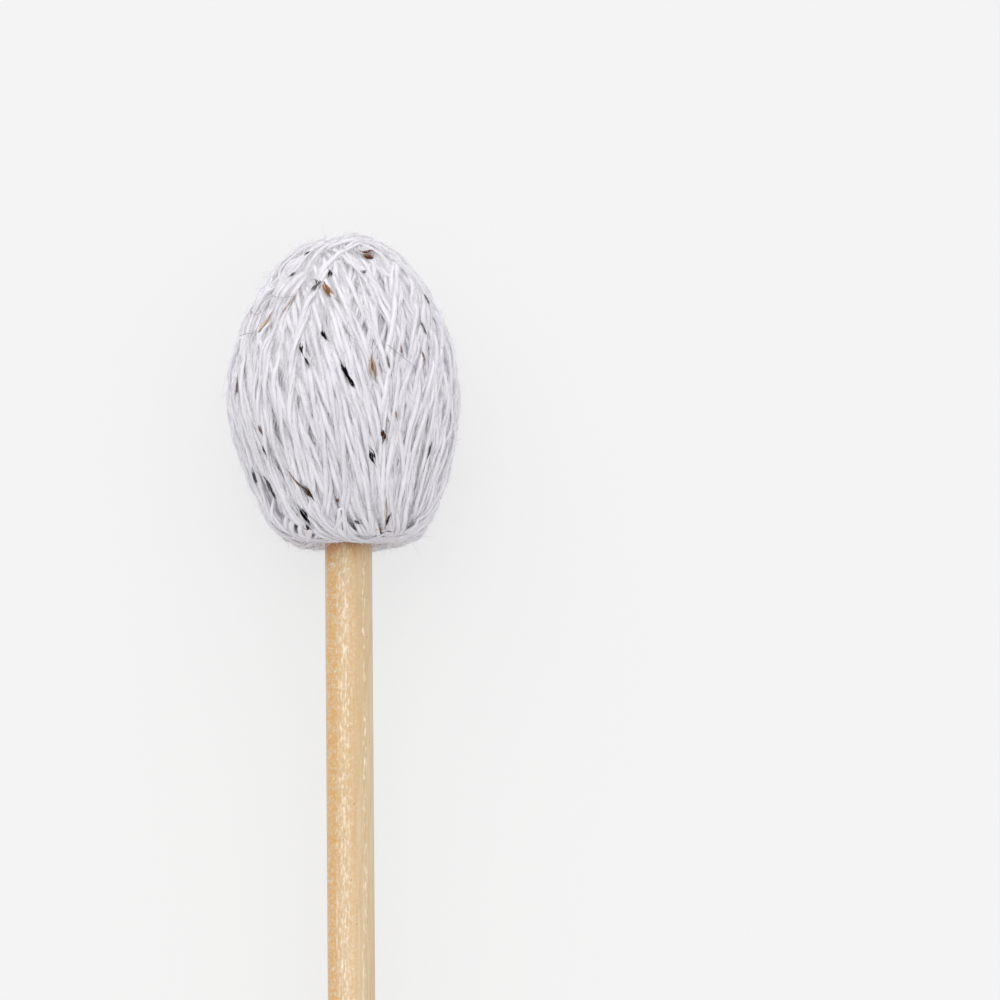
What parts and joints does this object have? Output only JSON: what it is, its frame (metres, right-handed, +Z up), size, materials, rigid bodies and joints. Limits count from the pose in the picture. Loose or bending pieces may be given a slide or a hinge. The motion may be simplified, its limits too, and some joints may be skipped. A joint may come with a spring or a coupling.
{
  "type": "marimba mallet",
  "caption": "Marimba mallet with a straight round birch handle and an egg-shaped head of rubber and latex, wound over crown and neck with white wool yarn and stitched at both ends.",
  "frame": {"origin": "centre of the bounding box in X and Y, on the surface that the mallet lies on", "axes": "+Y runs from the butt to the head and +Z is up. The handle climbs about 2.3 degrees towards the head, because butt and head both touch the surface."},
  "size_m": [0.0398, 0.4188, 0.0396],
  "materials": {
    "birch": "pale birch under a satin lacquer",
    "moulded_rubber": "matt moulded rubber",
    "latex": "amber latex tube",
    "inner_wool": "white wool laid flat",
    "white_wool": "soft two-ply white wool with brown, tan and black flecks"
  },
  "bodies": {
    "root": {"handle": "birch", "rubber_core": "moulded_rubber", "latex_sleeve": "latex", "under_wrap": "inner_wool", "yarn_winding": "white_wool", "crown_stitch": "white_wool", "neck_stitch": "white_wool"}
  },
  "joints": []
}
